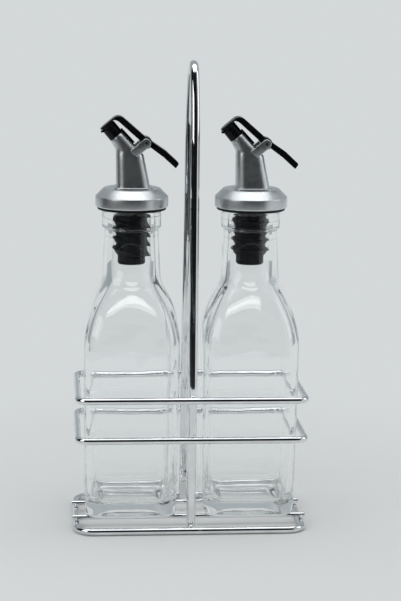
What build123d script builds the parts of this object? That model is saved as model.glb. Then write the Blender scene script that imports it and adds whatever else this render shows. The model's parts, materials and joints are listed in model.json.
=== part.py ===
from build123d import *
from math import cos, hypot, radians, sin
import os

os.makedirs("parts", exist_ok=True)

# Cruet set: two square glass bottles with flip-top pourers in a chromed wire rack.
# Millimetres. +Z is up, +X runs along the row of bottles, -Y is the front.
# The origin is on the table, in the middle of the base ring.

# ---- rack ----
RING_WIDTH = 112.5         # guard rings, left to right, between wire centres
RING_DEPTH = 58.0          # guard rings, front to rear, between wire centres
GUARD_WIRE = 3.4           # diameter
GUARD_CORNER = 5.0         # corner radius at the wire's centre
GUARD_HEIGHTS = {"lower": 48.2, "upper": 68.3}
BASE_WIRE = 3.6
BASE_CORNER = 8.5
BASE_EXTRA_WIDTH = 0.8     # the base ring is a little wider than the guard rings
HANDLE_WIRE = 4.5
HANDLE_TOP = 232.2         # outer top of the arch
HANDLE_LEAN = 4.3          # degrees, the legs' lean above the rings
HANDLE_TIP_LEAN = 26.0     # degrees, lean where the tight tip starts
KNEE_RADIUS = 60.0         # soft bend where a leg starts to lean
ARCH_RADIUS = 95.0         # wide bend under the tip
TIP_RADIUS = 8.0
LEG_END = 0.3              # the legs stop just above the table
CROSS_WIRE = 2.5
CROSS_OVERHANG = 0.5       # the cut ends stand out past the base ring
CROSS_PLACES = {"front": -13.9, "rear": 9.2}
WELD_SINK = 0.3            # how far two welded wires sink into each other

# ---- bottles ----
BOTTLE_SPACING = 59.2      # between the two neck axes
BODY_HALF = 23.75          # half the width across the flats, at the shoulder
FOOT_HALF = 22.9           # the same at the heel
BODY_CORNER = 8.0
BOTTLE_HEIGHT = 153.2
SHOULDER_START = 89.4      # all heights of a bottle are above its own foot
SHOULDER_ANGLE = 32.0      # degrees, steepest lean of the shoulder
SHOULDER_RADIUS = 48.0     # convex part
NECK_SWEEP_RADIUS = 12.0   # concave part that runs into the neck
HEEL_RADIUS = 3.0
WALL = 2.8
NECK_WALL = 4.4
FLOOR = 6.0
PUNT_HALF = 15.0
PUNT_DEPTH = 2.2
NECK_WAIST = 13.5          # radius just under the finish
WAIST_HEIGHT = 142.0
FINISH_RADIUS = 14.7
FINISH_HEIGHT = 9.5
BORE_RADIUS = 9.6

# ---- pourers: heights above the collar's underside, x from the neck axis ----
COLLAR_RADIUS = 18.0
COLLAR_SIDE = 5.1
COLLAR_TOP = 9.1
COLLAR_FLAT = 14.0         # radius of the collar's flat top
SHELL_WALL = 1.6
FLANGE_RADIUS = 17.0
FLANGE = 1.4
SHANK_RADIUS = 8.2
CORE_RADIUS = 6.8
RIB_RADIUS = 9.3
RIB_DEPTHS = (3.2, 7.2, 11.5, 16.2, 21.3)
STOPPER_DEPTH = 28.4
STEM_RADIUS = 4.4
STEM_PLAY = 0.06           # the spout turns in the stopper's sleeve
POUR_RADIUS = 2.1
SHELL_PLAY = 0.1           # between the shell and the insert inside it
TILT = 40.0                # degrees, the nozzle's lean from upright
ELBOW_HEIGHT = 25.2        # where the nozzle's axis meets the neck axis
NOZZLE_NECK = 3.1
NOZZLE_HEAD = 3.75
PIN_RADIUS = 0.85
EAR_PLAY = 0.02
LEVER_PLAY = 0.07
EAR_INSIDE = 4.2
EAR_OUTSIDE = 6.0
LEVER_HALF = 3.9           # half the lever's width
BARREL_RADIUS = 3.0

BASE_R = BASE_WIRE / 2
GUARD_R = GUARD_WIRE / 2
HANDLE_R = HANDLE_WIRE / 2
CROSS_R = CROSS_WIRE / 2
LEG_Y = RING_DEPTH / 2 - GUARD_R - HANDLE_R + WELD_SINK
BASE_WIDTH = RING_WIDTH + BASE_EXTRA_WIDTH
BASE_DEPTH = 2 * (LEG_Y + HANDLE_R + BASE_R - WELD_SINK)
CROSS_HEIGHT = BASE_WIRE + CROSS_R - WELD_SINK
FOOT_HEIGHT = CROSS_HEIGHT + CROSS_R          # the bottles stand on the cross wires
MOUTH_HEIGHT = FOOT_HEIGHT + BOTTLE_HEIGHT
COLLAR_HEIGHT = MOUTH_HEIGHT + FLANGE


def save(node, shape):
    export_step(shape, f"parts/{node}.step")


# ---- rack pieces ----
def wire_ring(width, depth, corner, wire_radius, height):
    """A closed rectangular loop of round wire with bent corners."""
    loop = (Pos(0, 0, height) * RectangleRounded(width, depth, corner)).wire()
    section = Plane(origin=loop @ 0, z_dir=loop % 0) * Circle(wire_radius)
    return sweep(section, path=loop)


def handle_path():
    """Front leg, knee, wide arch bend and tight tip, then the same down the rear leg."""
    lean = radians(HANDLE_LEAN)
    tip = radians(HANDLE_TIP_LEAN)
    inward = LEG_Y - KNEE_RADIUS * (1 - cos(lean)) - ARCH_RADIUS * (cos(lean) - cos(tip))
    straight = (inward - TIP_RADIUS * cos(tip)) / sin(lean)
    rise = KNEE_RADIUS * sin(lean) + straight * cos(lean)
    rise += ARCH_RADIUS * (sin(tip) - sin(lean)) + TIP_RADIUS * (1 - sin(tip))
    knee = HANDLE_TOP - HANDLE_R - rise
    bend = HANDLE_TIP_LEAN - HANDLE_LEAN
    with BuildLine(Plane.YZ) as path:
        front = Line((-LEG_Y, LEG_END), (-LEG_Y, knee))
        low = JernArc(front @ 1, front % 1, KNEE_RADIUS, -HANDLE_LEAN)
        up = Line(low @ 1, low @ 1 + (low % 1) * straight)
        arch = JernArc(up @ 1, up % 1, ARCH_RADIUS, -bend)
        over = JernArc(arch @ 1, arch % 1, TIP_RADIUS, -(180 - 2 * HANDLE_TIP_LEAN))
        back = JernArc(over @ 1, over % 1, ARCH_RADIUS, -bend)
        down = Line(back @ 1, back @ 1 + (back % 1) * straight)
        high = JernArc(down @ 1, down % 1, KNEE_RADIUS, -HANDLE_LEAN)
        Line(high @ 1, (LEG_Y, LEG_END))
    return path.line


def handle():
    path = handle_path()
    section = Plane(origin=path @ 0, z_dir=path % 0) * Circle(HANDLE_R)
    return sweep(section, path=path)


def cross_wire(place):
    length = BASE_WIDTH + BASE_WIRE + 2 * CROSS_OVERHANG
    return Pos(0, place, CROSS_HEIGHT) * Rot(0, 90, 0) * Cylinder(CROSS_R, length)


# ---- bottle ----
def square_at(height, half, corner):
    return Pos(0, 0, height) * RectangleRounded(2 * half, 2 * half, corner)


def shoulder_levels(steps=7):
    """Height and half width up the shoulder: a convex arc, then a concave one."""
    top = radians(SHOULDER_ANGLE)
    levels = []
    for step in range(steps + 1):
        angle = top * step / steps
        levels.append((SHOULDER_START + SHOULDER_RADIUS * sin(angle),
                       BODY_HALF - SHOULDER_RADIUS * (1 - cos(angle))))
    base, half = levels[-1]
    for step in range(1, 4):
        angle = top * (1 - step / 3)
        levels.append((base + NECK_SWEEP_RADIUS * (sin(top) - sin(angle)),
                       half - NECK_SWEEP_RADIUS * (cos(angle) - cos(top))))
    return levels


def corner_at(height, half, low, high):
    """The corner radius grows up the shoulder until the section is round."""
    share = (height - low) / (high - low)
    round_enough = half - 0.05
    return min(round_enough, BODY_CORNER + share * (round_enough - BODY_CORNER))


def bottle():
    levels = shoulder_levels()
    neck_start, neck_half = levels[-1]
    body = loft([square_at(0, FOOT_HALF, BODY_CORNER),
                 square_at(SHOULDER_START, BODY_HALF, BODY_CORNER)])
    body = fillet(body.faces().sort_by(Axis.Z)[0].edges(), HEEL_RADIUS)
    shoulder = loft([square_at(z, half, corner_at(z, half, SHOULDER_START, neck_start))
                     for z, half in levels], ruled=True)
    with BuildSketch(Plane.XZ) as neck_side:
        with BuildLine():
            Polyline((0, neck_start), (neck_half - 0.1, neck_start), (NECK_WAIST, WAIST_HEIGHT),
                     (FINISH_RADIUS, BOTTLE_HEIGHT - FINISH_HEIGHT + 2.0),
                     (FINISH_RADIUS, BOTTLE_HEIGHT), (0, BOTTLE_HEIGHT), (0, neck_start))
        make_face()
    neck = revolve(neck_side.sketch, Axis.Z)
    glass = body + shoulder + neck

    inner_body = loft([square_at(FLOOR, FOOT_HALF - WALL, BODY_CORNER - WALL),
                       square_at(SHOULDER_START, BODY_HALF - WALL, BODY_CORNER - WALL)])
    inner_body = fillet(inner_body.faces().sort_by(Axis.Z)[0].edges(), 4.5)
    inner_levels = []
    for z, half in levels:
        share = (z - SHOULDER_START) / (neck_start - SHOULDER_START)
        wall = WALL + share * (NECK_WALL - WALL)
        corner = corner_at(z, half, SHOULDER_START, neck_start) - wall
        inner_levels.append(square_at(z, half - wall, corner))
    inner_shoulder = loft(inner_levels, ruled=True)
    with BuildSketch(Plane.XZ) as bore_side:
        with BuildLine():
            Polyline((0, neck_start), (neck_half - NECK_WALL - 0.1, neck_start),
                     (BORE_RADIUS, WAIST_HEIGHT), (BORE_RADIUS, BOTTLE_HEIGHT + 1),
                     (0, BOTTLE_HEIGHT + 1), (0, neck_start))
        make_face()
    bore = revolve(bore_side.sketch, Axis.Z)
    punt = loft([square_at(-0.01, PUNT_HALF, 6), square_at(PUNT_DEPTH, PUNT_HALF - 3, 5)])
    return glass - inner_body - inner_shoulder - bore - punt


# ---- pourer ----
def ring_profile(points):
    """Turn a closed outline of radius and height pairs about the neck axis."""
    with BuildSketch(Plane.XZ) as side:
        with BuildLine():
            Polyline(*points, points[0])
        make_face()
    return revolve(side.sketch, Axis.Z)


def stopper():
    """Rubber plug with a sealing flange, five conical lips and a sleeve for the stem."""
    solid = ring_profile([(0, -FLANGE), (FLANGE_RADIUS, -FLANGE), (FLANGE_RADIUS, 0), (0, 0)])
    solid += ring_profile([(0, -RIB_DEPTHS[0]), (SHANK_RADIUS, -RIB_DEPTHS[0]),
                           (SHANK_RADIUS, -FLANGE), (0, -FLANGE)])
    solid += ring_profile([(0, -STOPPER_DEPTH), (CORE_RADIUS, -STOPPER_DEPTH),
                           (CORE_RADIUS, -RIB_DEPTHS[0]), (0, -RIB_DEPTHS[0])])
    for depth in RIB_DEPTHS:
        solid += ring_profile([(0, -depth - 2.4), (CORE_RADIUS, -depth - 2.4),
                               (RIB_RADIUS, -depth - 0.6), (RIB_RADIUS, -depth),
                               (CORE_RADIUS, -depth + 0.6), (0, -depth + 0.6)])
    sleeve = Pos(0, 0, -STOPPER_DEPTH / 2) * Cylinder(STEM_RADIUS + STEM_PLAY, STOPPER_DEPTH + 2)
    return solid - sleeve


def across(u, v):
    """A point from the tilted spout frame: u across the nozzle, v out along it."""
    tilt = radians(TILT)
    return (u * cos(tilt) - v * sin(tilt), u * sin(tilt) + v * cos(tilt))


NOZZLE_U = ELBOW_HEIGHT * sin(radians(TILT))
PIN_U, PIN_V = 25.3, 19.9
END_V = 31.6               # the shell's end plane
HEAD_V = 38.0              # the nozzle's end
EAR_HALF_WIDTH = 2.3
PIN_X, PIN_Z = across(PIN_U, PIN_V)


def tilted_rod(radius, v_low, v_high):
    """A round rod along the nozzle's axis."""
    low_x, low_z = across(NOZZLE_U, v_low)
    high_x, high_z = across(NOZZLE_U, v_high)
    start = Plane(origin=(low_x, 0, low_z), z_dir=(high_x - low_x, 0, high_z - low_z))
    return extrude(start * Circle(radius), v_high - v_low)


def side_plate(points, half_width, inner=0.0):
    """Extrude an outline drawn in the spout's side view across the width."""
    with BuildSketch(Plane.XZ) as side:
        with BuildLine():
            Polyline(*points, points[0])
        make_face()
    plate = extrude(side.sketch, half_width, both=True)
    if inner:
        plate -= extrude(side.sketch, inner, both=True)
    return plate


def spout_section(left, right, half_y, corner):
    """One rounded section of the spout between two points of its side view."""
    run = right[0] - left[0]
    rise = right[1] - left[1]
    middle = ((left[0] + right[0]) / 2, 0, (left[1] + right[1]) / 2)
    plane = Plane(origin=middle, x_dir=(run, 0, rise), z_dir=(-rise, 0, run))
    return plane * RectangleRounded(hypot(run, rise), 2 * half_y, corner)


def ear():
    """Outline of both hinge ears, a flat strip with a round end about the pin."""
    low = PIN_V - EAR_HALF_WIDTH
    high = PIN_V + EAR_HALF_WIDTH
    corners = [across(17.5, low), across(PIN_U, low), across(PIN_U, high), across(17.5, high)]
    strip = side_plate(corners, EAR_OUTSIDE, EAR_INSIDE)
    boss = Pos(PIN_X, 0, PIN_Z) * Rot(90, 0, 0) * Cylinder(EAR_HALF_WIDTH, 2 * EAR_OUTSIDE)
    gap = Pos(PIN_X, 0, PIN_Z) * Rot(90, 0, 0) * Cylinder(EAR_HALF_WIDTH + 1, 2 * EAR_INSIDE)
    return strip + (boss - gap)


def spout_shell():
    collar = ring_profile([(0, 0), (COLLAR_RADIUS, 0), (COLLAR_RADIUS, COLLAR_SIDE),
                           (COLLAR_FLAT, COLLAR_TOP), (0, COLLAR_TOP)])
    inside = COLLAR_RADIUS - SHELL_WALL
    collar -= ring_profile([(0, -1), (inside, -1), (inside, COLLAR_SIDE - 0.6),
                            (COLLAR_FLAT - 1.0, COLLAR_TOP - SHELL_WALL),
                            (0, COLLAR_TOP - SHELL_WALL)])
    plinth = Pos(0.6, 0, COLLAR_TOP - 0.5 + 0.7) * extrude(RectangleRounded(19.4, 17.0, 4.5), 0.8)
    foot = spout_section((-7.8, COLLAR_TOP - 1), (9.1, COLLAR_TOP - 1), 7.0, 3.2)
    waist = spout_section((-8.0, 27.2), (5.5, 26.0), 5.9, 2.9)
    end = spout_section(across(12.6, END_V), across(20.1, END_V), 4.4, 3.2)
    spout = loft([foot, waist], ruled=True) + loft([waist, end], ruled=True)
    shell = collar + plinth + spout + ear()

    room = STEM_RADIUS + SHELL_PLAY
    shell -= Pos(0, 0, (ELBOW_HEIGHT + 5) / 2) * Cylinder(room, ELBOW_HEIGHT - 5)
    shell -= Pos(0, 0, ELBOW_HEIGHT) * Sphere(room)
    shell -= tilted_rod(NOZZLE_NECK + SHELL_PLAY, ELBOW_HEIGHT * cos(radians(TILT)), END_V + 1)
    slot = [across(18.0, 23.2), across(24.0, 23.2), across(24.0, END_V + 1), across(18.0, END_V + 1)]
    shell -= side_plate(slot, 1.9)
    vent = [(3.0, 21.8), (9.0, 21.8), (9.0, 25.4), (3.0, 25.4)]
    shell -= side_plate(vent, 1.2)
    shell -= Pos(PIN_X, 0, PIN_Z) * Rot(90, 0, 0) * Cylinder(PIN_RADIUS + EAR_PLAY, 2 * EAR_OUTSIDE + 1)
    return shell


def spout_insert():
    disc = ring_profile([(0, 0), (COLLAR_RADIUS - SHELL_WALL - SHELL_PLAY, 0),
                         (COLLAR_RADIUS - SHELL_WALL - SHELL_PLAY, 1.5), (0, 1.5)])
    stem = Pos(0, 0, (ELBOW_HEIGHT - STOPPER_DEPTH) / 2) * Cylinder(
        STEM_RADIUS, ELBOW_HEIGHT + STOPPER_DEPTH)
    elbow_v = ELBOW_HEIGHT * cos(radians(TILT))
    solid = disc + stem + Pos(0, 0, ELBOW_HEIGHT) * Sphere(STEM_RADIUS)
    solid += tilted_rod(NOZZLE_NECK, elbow_v, END_V + 0.2)
    solid += tilted_rod(NOZZLE_HEAD, END_V + 0.05, HEAD_V)
    lip = [across(13.2, HEAD_V - 1.2), across(13.2, HEAD_V), across(11.7, HEAD_V + 0.3),
           across(11.6, HEAD_V - 0.4)]
    solid += side_plate(lip, 2.2)
    spine = [across(18.4, 23.4), across(21.3, 23.4), across(20.7, END_V + 1.2),
             across(18.4, END_V + 1.2)]
    solid += side_plate(spine, 1.8)
    pour = Pos(0, 0, (ELBOW_HEIGHT - STOPPER_DEPTH) / 2 - 1) * Cylinder(
        POUR_RADIUS, ELBOW_HEIGHT + STOPPER_DEPTH + 2)
    pour += Pos(0, 0, ELBOW_HEIGHT) * Sphere(POUR_RADIUS)
    pour += tilted_rod(POUR_RADIUS, elbow_v, HEAD_V + 1)
    return solid - pour


def hinge_pin():
    return Pos(PIN_X, 0, PIN_Z) * Rot(90, 0, 0) * Cylinder(PIN_RADIUS, 2 * EAR_OUTSIDE - 0.4)


def lever():
    """Thumb tab, barrel, arm and bend in one outline, and a round flap over the nozzle."""
    outline = [(21.5, 37.2), (23.6, 23.4), (23.2, 20.0), (25.3, 17.5), (27.4, 9.0), (28.75, 0.8),
               (31.65, 1.6), (30.2, 10.5), (27.7, 19.6), (26.9, 22.9), (24.6, 36.6), (23.5, 38.2),
               (21.8, 39.1), (19.5, 39.4), (16.2, 39.4), (16.2, 38.5), (20.2, 38.5)]
    bar = side_plate([across(u, v) for u, v in outline], LEVER_HALF)
    flap = tilted_rod(LEVER_HALF, 38.5, 39.4)
    barrel = Pos(PIN_X, 0, PIN_Z) * Rot(90, 0, 0) * Cylinder(BARREL_RADIUS, 2 * LEVER_HALF)
    bore = Pos(PIN_X, 0, PIN_Z) * Rot(90, 0, 0) * Cylinder(PIN_RADIUS + LEVER_PLAY, 3 * LEVER_HALF)
    return bar + flap + barrel - bore


def flap_seal():
    return tilted_rod(3.5, HEAD_V + 0.35, 38.5)


base_ring = wire_ring(BASE_WIDTH, BASE_DEPTH, BASE_CORNER, BASE_R, BASE_R)
save("base_ring", base_ring)
for name, height in GUARD_HEIGHTS.items():
    save(f"{name}_guard_ring", wire_ring(RING_WIDTH, RING_DEPTH, GUARD_CORNER, GUARD_R, height))
save("handle", handle())
for name, place in CROSS_PLACES.items():
    save(f"{name}_cross_wire", cross_wire(place))

pourer_pieces = {"stopper": stopper(), "spout_shell": spout_shell(), "spout_insert": spout_insert(),
                 "hinge_pin": hinge_pin(), "lever": lever(), "flap_seal": flap_seal()}
glass = bottle()
for side, x in (("left", -BOTTLE_SPACING / 2), ("right", BOTTLE_SPACING / 2)):
    save(f"{side}_bottle", Pos(x, 0, FOOT_HEIGHT) * glass)
    for name, piece in pourer_pieces.items():
        save(f"{side}_{name}", Pos(x, 0, COLLAR_HEIGHT) * piece)
print("pin at", PIN_X, PIN_Z, "collar height", COLLAR_HEIGHT, "foot height", FOOT_HEIGHT)
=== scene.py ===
# %% [markdown]
# # A cruet set: glass, chrome wire and flip-top pourers
# Two square glass bottles stand in a chromed wire rack. Each bottle is closed by a rubber stopper
# that carries a silver-coated spout with a black thumb lever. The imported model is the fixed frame:
# it says where every piece is and how it moves. This lesson builds the visible pieces around it.

# %% Load the frame
import bmesh
import bpy
import json
import math
from mathutils import Matrix, Vector, noise


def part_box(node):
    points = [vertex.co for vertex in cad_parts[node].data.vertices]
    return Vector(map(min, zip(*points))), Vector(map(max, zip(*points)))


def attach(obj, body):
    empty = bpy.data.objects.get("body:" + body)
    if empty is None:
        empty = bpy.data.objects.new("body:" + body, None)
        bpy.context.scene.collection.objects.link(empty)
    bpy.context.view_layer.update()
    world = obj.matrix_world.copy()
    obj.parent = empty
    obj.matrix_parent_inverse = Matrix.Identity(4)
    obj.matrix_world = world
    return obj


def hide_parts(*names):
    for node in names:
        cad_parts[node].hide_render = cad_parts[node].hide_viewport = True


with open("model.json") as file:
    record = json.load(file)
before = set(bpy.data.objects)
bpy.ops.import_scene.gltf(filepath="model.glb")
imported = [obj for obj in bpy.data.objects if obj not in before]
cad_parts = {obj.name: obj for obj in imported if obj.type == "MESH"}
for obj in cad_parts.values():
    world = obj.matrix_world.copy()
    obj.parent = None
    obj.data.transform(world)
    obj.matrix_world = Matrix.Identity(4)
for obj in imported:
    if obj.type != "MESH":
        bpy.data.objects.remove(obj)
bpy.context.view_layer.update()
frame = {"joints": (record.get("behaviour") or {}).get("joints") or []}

joints = {joint["name"]: joint for joint in frame["joints"]}

# %% [markdown]
# ## Working units and a finishing helper
# The frame is in metres, but a pourer is easier to draw in millimetres about its own neck axis.
# So each mesh is drawn in millimetres, and one helper scales it, puts it in place, shades it
# smooth and gives it its body and its finish. The object itself stays at the origin, because the
# place has to be in the mesh for poses and for patterns on object coordinates. A smaller helper
# makes the object itself, so that the floor and the walls of the studio can use it too.

# %% Millimetres
MM = 0.001


def place_mm(x=0.0, y=0.0, z=0.0):
    """A place in the frame, in millimetres, for a mesh drawn about its own origin."""
    return Matrix.Translation((x * MM, y * MM, z * MM))


print("frame units in a millimetre:", MM)


# %% Finishing helpers
def make_object(mesh_edit, name, material):
    """Turn a bmesh into an object in the scene, with its material."""
    mesh = bpy.data.meshes.new(name)
    mesh_edit.to_mesh(mesh)
    mesh_edit.free()
    mesh.materials.append(material)
    made = bpy.data.objects.new(name, mesh)
    bpy.context.scene.collection.objects.link(made)
    return made


def finish_piece(mesh_edit, name, body, material, stands_for=(), place=Matrix(), sharp=35):
    """Turn a bmesh drawn in millimetres into a piece that rides on a body."""
    bmesh.ops.transform(mesh_edit, matrix=place @ Matrix.Scale(MM, 4), verts=mesh_edit.verts)
    for face in mesh_edit.faces:
        face.smooth = True
    piece = make_object(mesh_edit, name, material)
    piece.data.set_sharp_from_angle(angle=math.radians(sharp))
    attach(piece, body)
    if stands_for:
        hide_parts(*stands_for)
    print(f"{name}: {len(piece.data.polygons)} faces on {body}")
    return piece


# %% Small drawing helpers
def edges_within(mesh_edit, verts):
    """The edges that join two of these points."""
    chosen = set(verts)
    return [edge for edge in mesh_edit.edges if edge.verts[0] in chosen and edge.verts[1] in chosen]


def only(kind, made):
    """The new points or edges among what an operator made."""
    return [item for item in made if isinstance(item, kind)]


def round_corners(mesh_edit, corners, radius, segments):
    """Round corners in the plane of their face, and give the new points."""
    made = bmesh.ops.bevel(mesh_edit, geom=corners, offset=radius, offset_type="OFFSET",
                           segments=segments, profile=0.5, affect="VERTICES", material=-1)
    return made["verts"]


def break_edges(mesh_edit, edges, width, segments=2):
    """Bevel sharp edges a little, so that they catch a line of light."""
    bmesh.ops.bevel(mesh_edit, geom=edges, offset=width, offset_type="OFFSET", segments=segments,
                    profile=0.5, affect="EDGES", material=-1)


def arc(centre, radius, start, end, steps):
    """Points of an arc about a centre, from one angle to another, in degrees."""
    points = []
    for step in range(steps + 1):
        angle = math.radians(start + (end - start) * step / steps)
        points.append((centre[0] + radius * math.cos(angle), centre[1] + radius * math.sin(angle)))
    return points

# %% [markdown]
# ## Material helpers
# Every finish here is one Principled shader. What is the same all over is set on the shader's own
# sockets. What varies comes from noise read on object coordinates, which are metres on the object,
# so a grain of 0.3 mm is a noise scale of about 3000. One helper makes the shader. Three more let
# noise move its roughness between two values, raise a shallow bump, or drift its colour.

# %% Shader helper
def new_finish(name, base_color, metallic=0.0, **sockets):
    """A material with one Principled shader whose even values are set on its sockets."""
    material = bpy.data.materials.new(name)
    material.use_nodes = True
    shader = material.node_tree.nodes["Principled BSDF"]
    shader.inputs["Base Color"].default_value = (*base_color, 1.0)
    shader.inputs["Metallic"].default_value = metallic
    for socket, value in sockets.items():
        shader.inputs[socket.replace("_", " ")].default_value = value
    return material, material.node_tree, shader


# %% Noise helpers
EVEN = (1.0, 1.0, 1.0)


def noise_field(tree, scale, detail=2.0, stretch=EVEN):
    """Noise on object coordinates: scale is in waves per metre, stretch is per axis."""
    place = tree.nodes.new("ShaderNodeTexCoord")
    mapping = tree.nodes.new("ShaderNodeMapping")
    mapping.inputs["Scale"].default_value = stretch
    field = tree.nodes.new("ShaderNodeTexNoise")
    field.inputs["Scale"].default_value = scale
    field.inputs["Detail"].default_value = detail
    tree.links.new(place.outputs["Object"], mapping.inputs["Vector"])
    tree.links.new(mapping.outputs["Vector"], field.inputs["Vector"])
    return field.outputs["Fac"]


def map_range(tree, value, low, high, from_low=0.35, from_high=0.65):
    """Bring a noise value into the range that a socket needs."""
    node = tree.nodes.new("ShaderNodeMapRange")
    node.inputs["From Min"].default_value = from_low
    node.inputs["From Max"].default_value = from_high
    node.inputs["To Min"].default_value = low
    node.inputs["To Max"].default_value = high
    tree.links.new(value, node.inputs["Value"])
    return node.outputs["Result"]


# %% Helpers that vary a finish
def vary_roughness(tree, shader, scale, low, high, detail=2.0):
    """Let the gloss drift between two roughness values."""
    field = noise_field(tree, scale, detail)
    tree.links.new(map_range(tree, field, low, high), shader.inputs["Roughness"])


def add_bump(tree, shader, scale, depth, strength, detail=2.0, stretch=EVEN):
    """A shallow relief: depth in metres, strength as a share."""
    bump = tree.nodes.new("ShaderNodeBump")
    bump.inputs["Distance"].default_value = depth
    bump.inputs["Strength"].default_value = strength
    tree.links.new(noise_field(tree, scale, detail, stretch), bump.inputs["Height"])
    tree.links.new(bump.outputs["Normal"], shader.inputs["Normal"])


def fade_between(tree, share, start, end):
    """A colour that goes from one to another by a share."""
    mix = tree.nodes.new("ShaderNodeMix")
    mix.data_type = "RGBA"
    mix.inputs["A"].default_value = (*start, 1.0)
    mix.inputs["B"].default_value = (*end, 1.0)
    tree.links.new(share, mix.inputs["Factor"])
    return mix.outputs["Result"]


def vary_color(tree, shader, scale, dark, light):
    """Let the colour drift softly between two shades."""
    share = map_range(tree, noise_field(tree, scale, detail=3.0), 0.0, 1.0)
    tree.links.new(fade_between(tree, share, dark, light), shader.inputs["Base Color"])

# %% [markdown]
# ## Chrome wire
# The rack is steel wire with a bright decorative chrome plate. Chrome is nearly a mirror, so what
# makes it read as metal is what it reflects. Real plate is not perfect: it has a faint orange-peel
# wave from the wire beneath and hazy spots where it was handled. Both are noise on the shader,
# because they are far too fine and shallow for the mesh.

# %% Chrome
chrome, tree, shader = new_finish("bright_chrome_plate", (0.80, 0.81, 0.82), metallic=1.0)
vary_roughness(tree, shader, scale=260.0, low=0.035, high=0.085)
add_bump(tree, shader, scale=420.0, depth=0.0004, strength=0.035)
vary_color(tree, shader, scale=120.0, dark=(0.74, 0.75, 0.765), light=(0.84, 0.85, 0.855))
print("finish:", chrome.name)

# %% [markdown]
# ## Clear glass
# The bottles are moulded soda-lime glass: clear, with an index of 1.5 and a trace of grey-green
# that only shows where light runs a long way inside the wall, at the edges. The wall is a real
# solid here, with an outer and an inner skin, so refraction comes from the shape. The long soft
# waves that a mould leaves on the skins are mostly in the mesh, and the shader adds a faint ripple.

# %% Glass
glass, tree, shader = new_finish("clear_moulded_glass", (0.988, 0.997, 0.995), IOR=1.5,
                                 Transmission_Weight=1.0)
vary_roughness(tree, shader, scale=90.0, low=0.0, high=0.012)
add_bump(tree, shader, scale=140.0, depth=0.0003, strength=0.05, stretch=(1.0, 1.0, 0.6))
print("finish:", glass.name)

# %% [markdown]
# ## Silver-coated plastic, black plastic, rubber and the pin
# The collar and spout are moulded plastic under a satin metal coat: it mirrors softly, so broad
# highlights have blurred edges, and it has a very fine grain. The lever and the pour tube are
# black plastic with a semi-gloss skin from a polished mould. The stopper is matt rubber with a
# little bloom on it, which lifts the black unevenly. The pin is dark steel, seen only at its ends.

# %% Silver coat
silver, tree, shader = new_finish("satin_silver_coat", (0.66, 0.68, 0.69), metallic=1.0)
vary_roughness(tree, shader, scale=900.0, low=0.33, high=0.39, detail=4.0)
add_bump(tree, shader, scale=5200.0, depth=0.00002, strength=0.08)
vary_color(tree, shader, scale=300.0, dark=(0.63, 0.65, 0.66), light=(0.70, 0.72, 0.73))
print("finish:", silver.name)

# %% Black plastic
black, tree, shader = new_finish("semi_gloss_black_plastic", (0.004, 0.004, 0.005),
                                 Specular_IOR_Level=0.15)
vary_roughness(tree, shader, scale=1100.0, low=0.20, high=0.30, detail=4.0)
add_bump(tree, shader, scale=3800.0, depth=0.00005, strength=0.15)
vary_color(tree, shader, scale=500.0, dark=(0.002, 0.002, 0.003), light=(0.005, 0.005, 0.006))
print("finish:", black.name)

# %% Rubber
rubber, tree, shader = new_finish("matt_black_rubber", (0.006, 0.007, 0.008),
                                  Specular_IOR_Level=0.22)
vary_roughness(tree, shader, scale=700.0, low=0.46, high=0.66, detail=5.0)
add_bump(tree, shader, scale=2600.0, depth=0.00008, strength=0.25, detail=4.0)
vary_color(tree, shader, scale=260.0, dark=(0.003, 0.004, 0.005), light=(0.010, 0.012, 0.014))
print("finish:", rubber.name)

# %% Steel pin
steel, tree, shader = new_finish("dark_steel_pin", (0.06, 0.06, 0.065), metallic=0.9)
vary_roughness(tree, shader, scale=2400.0, low=0.30, high=0.45)
vary_color(tree, shader, scale=1500.0, dark=(0.03, 0.03, 0.034), light=(0.09, 0.09, 0.095))
print("finish:", steel.name)

# %% [markdown]
# ## Bent wire
# A rack wire is one round rod bent in a jig. The same thing is done here: a circle is the rod's
# cut end, extruding it gives a straight run, and spinning it about a point beside the wire gives
# a bend. This keeps the wire exactly round through each corner, which a bevelled curve with few
# points would not, and chrome shows every flat.

# %% Wire tools
WIRE_SIDES = 28


def wire_start(mesh_edit, radius, at, facing):
    """The cut end of a round wire: a circle about a point, looking along the wire."""
    turn = Vector(facing).to_track_quat("Z", "Y").to_matrix().to_4x4()
    made = bmesh.ops.create_circle(mesh_edit, cap_ends=False, segments=WIRE_SIDES, radius=radius,
                                   matrix=Matrix.Translation(at) @ turn)
    return edges_within(mesh_edit, made["verts"])


def wire_run(mesh_edit, ring, along, pieces=1):
    """Draw the wire out straight, in one piece or several."""
    for _ in range(pieces):
        made = bmesh.ops.extrude_edge_only(mesh_edit, edges=ring)
        verts = only(bmesh.types.BMVert, made["geom"])
        bmesh.ops.translate(mesh_edit, verts=verts, vec=Vector(along) / pieces)
        ring = edges_within(mesh_edit, verts)
    return ring


def wire_bend(mesh_edit, ring, centre, axis, degrees, steps):
    """Bend the wire about a point beside it."""
    made = bmesh.ops.spin(mesh_edit, geom=ring, cent=centre, axis=axis, dvec=(0, 0, 0),
                          angle=math.radians(degrees), steps=steps, use_merge=False,
                          use_duplicate=False)
    return only(bmesh.types.BMEdge, made["geom_last"])


def wire_cap(mesh_edit, ring, width):
    """Close a cut end and break its sharp edge."""
    made = bmesh.ops.edgeloop_fill(mesh_edit, edges=ring)
    break_edges(mesh_edit, list(made["faces"][0].edges), width)


def node_box(node):
    """A CAD node's lowest and highest corner in millimetres."""
    low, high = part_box(node)
    return low / MM, high / MM


# %% [markdown]
# ## Base ring and guard rings
# Three rectangular rings of wire make the rack: a heavy one on the table and two light ones that
# keep the bottles upright. On the real rack each ring is bent from one length and closed by a weld,
# so each is drawn that way round: a run and a bend four times, then a last run back to the start.

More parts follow.
